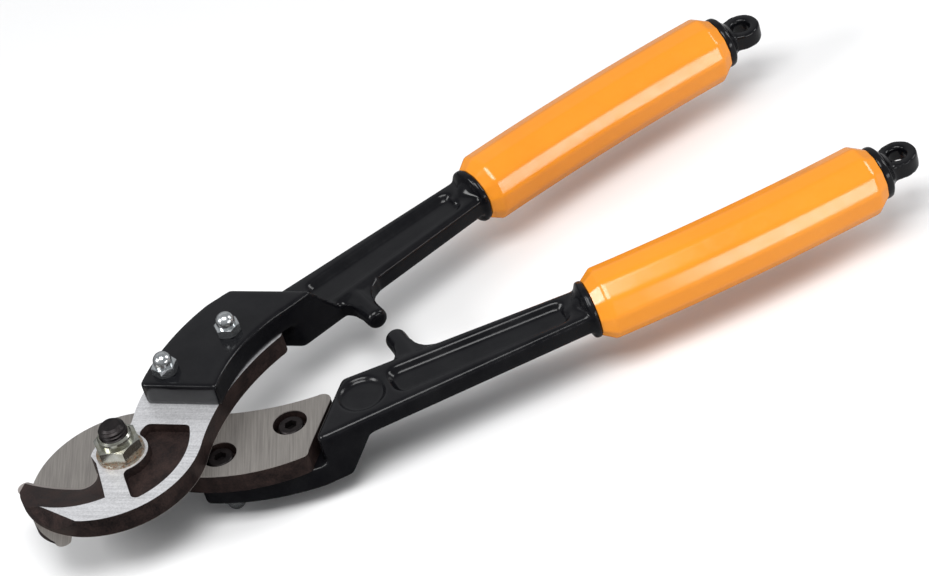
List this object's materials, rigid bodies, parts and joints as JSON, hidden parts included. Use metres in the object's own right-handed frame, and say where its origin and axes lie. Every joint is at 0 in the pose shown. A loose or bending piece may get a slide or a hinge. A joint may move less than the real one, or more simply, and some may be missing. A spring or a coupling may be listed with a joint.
{
  "type": "bolt cutters",
  "caption": "Two-handed cutters with hooked blades on a pivot bolt, long black handles, orange grips and a hanging eye at the end of each handle; the jaws open and close.",
  "frame": {"origin": "under the middle of the whole tool, on the surface that it lies on", "axes": "X runs from the jaws to the grips, Z is the pivot bolt's axis, Y runs across the handles towards the grip of the half whose plate is on top"},
  "size_m": [0.403, 0.1626, 0.061],
  "materials": {
    "blade_steel": "forged dark, ground on the faces",
    "black_paint": "gloss",
    "orange_grip": "gloss",
    "black_oxide": "satin",
    "bright_zinc": "polished",
    "yellow_zinc": "satin",
    "brown_nylon": "matt"
  },
  "bodies": {
    "lower_half": {"lower_blade": "blade_steel", "lower_handle": "black_paint", "lower_grip": "orange_grip", "lower_end_eye": "black_paint", "lower_front_screw": "black_oxide", "lower_rear_screw": "black_oxide", "lower_front_cap_nut": "bright_zinc", "lower_rear_cap_nut": "bright_zinc", "pivot_bolt": "black_oxide", "pivot_nut": "yellow_zinc", "nut_lock_ring": "brown_nylon", "nut_washer": "yellow_zinc", "head_washer": "yellow_zinc"},
    "upper_half": {"upper_blade": "blade_steel", "upper_handle": "black_paint", "upper_grip": "orange_grip", "upper_end_eye": "black_paint", "upper_front_screw": "black_oxide", "upper_rear_screw": "black_oxide", "upper_front_cap_nut": "bright_zinc", "upper_rear_cap_nut": "bright_zinc"}
  },
  "joints": [
    {"name": "jaw_pivot", "type": "hinge", "parent": "lower_half", "child": "upper_half", "pos_m": [-0.156, 0, 0.0305], "axis": [0, 0, 1], "range_deg": [-6, 100]}
  ]
}
